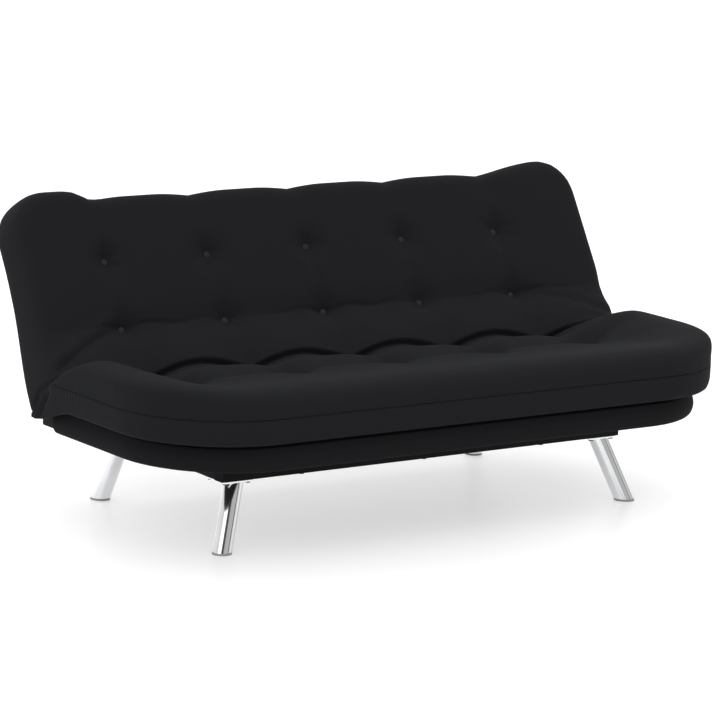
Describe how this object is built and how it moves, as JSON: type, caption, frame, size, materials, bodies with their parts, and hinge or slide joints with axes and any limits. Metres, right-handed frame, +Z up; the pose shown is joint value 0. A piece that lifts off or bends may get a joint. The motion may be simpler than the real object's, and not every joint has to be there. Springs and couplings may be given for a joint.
{
  "type": "futon sofa bed",
  "caption": "Three-seat click-clack sofa bed with a tufted one-piece mattress folded over a hinged slatted frame, on splayed chrome tube legs",
  "frame": {"origin": "on the floor under the middle of the whole sofa, as it stands in its sitting position", "axes": "+X to the right seen from the front, +Y to the rear, +Z up"},
  "size_m": [1.899, 1.0787, 0.8201],
  "materials": {
    "chrome": "polished",
    "grey_plastic": "matt",
    "black_plastic": "matt",
    "black_steel": "satin powder coat",
    "zinc_steel": "zinc plated",
    "wood": "bare birch",
    "plywood": "bare",
    "cover_fabric": "matt woven",
    "button_fabric": "matt woven",
    "lining": "non-woven",
    "foam": "open-cell foam",
    "rubber": "matt"
  },
  "bodies": {
    "base": {"band_board_front": "plywood", "band_board_left": "plywood", "band_board_right": "plywood", "band_corner_board_left": "plywood", "band_corner_board_right": "plywood", "band_cover": "cover_fabric", "bed_bumpers": "rubber", "bracket_screws": "zinc_steel", "dust_cover": "lining", "frame_screws": "zinc_steel", "glide_front_left": "grey_plastic", "glide_front_right": "grey_plastic", "glide_rear_left": "grey_plastic", "glide_rear_right": "grey_plastic", "hinge_bracket_left": "black_steel", "hinge_bracket_right": "black_steel", "hinge_washers": "zinc_steel", "leg_front_left": "chrome", "leg_front_right": "chrome", "leg_rear_left": "chrome", "leg_rear_right": "chrome", "leg_screws": "zinc_steel", "pivot_bolts": "zinc_steel", "rail_plugs": "grey_plastic", "seat_buttons": "button_fabric", "seat_corner_tube_left": "black_steel", "seat_corner_tube_right": "black_steel", "seat_crossbars": "black_steel", "seat_foam_core": "foam", "seat_mattress": "cover_fabric", "seat_slat_holders": "black_plastic", "seat_slats": "wood", "seat_tube_front": "black_steel", "seat_tube_left": "black_steel", "seat_tube_rear": "black_steel", "seat_tube_right": "black_steel", "under_rail_front": "black_steel", "under_rail_left": "black_steel", "under_rail_rear": "black_steel", "under_rail_right": "black_steel"},
    "backrest": {"arm_screws": "zinc_steel", "back_buttons": "button_fabric", "back_cover": "cover_fabric", "back_crossbars": "black_steel", "back_foam_core": "foam", "back_mattress": "cover_fabric", "back_slat_holders": "black_plastic", "back_slats": "wood", "back_tube_bottom": "black_steel", "back_tube_left": "black_steel", "back_tube_right": "black_steel", "back_tube_top": "black_steel", "hinge_arm_left": "black_steel", "hinge_arm_right": "black_steel", "hinge_bushes": "black_plastic", "ratchet_hub_left": "black_steel", "ratchet_hub_right": "black_steel", "stop_pins": "zinc_steel"}
  },
  "joints": [
    {"name": "backrest_recline", "type": "hinge", "parent": "base", "child": "backrest", "pos_m": [0, 0.25343, 0.307], "axis": [1, 0, 0], "range_deg": [-59, 4]}
  ]
}
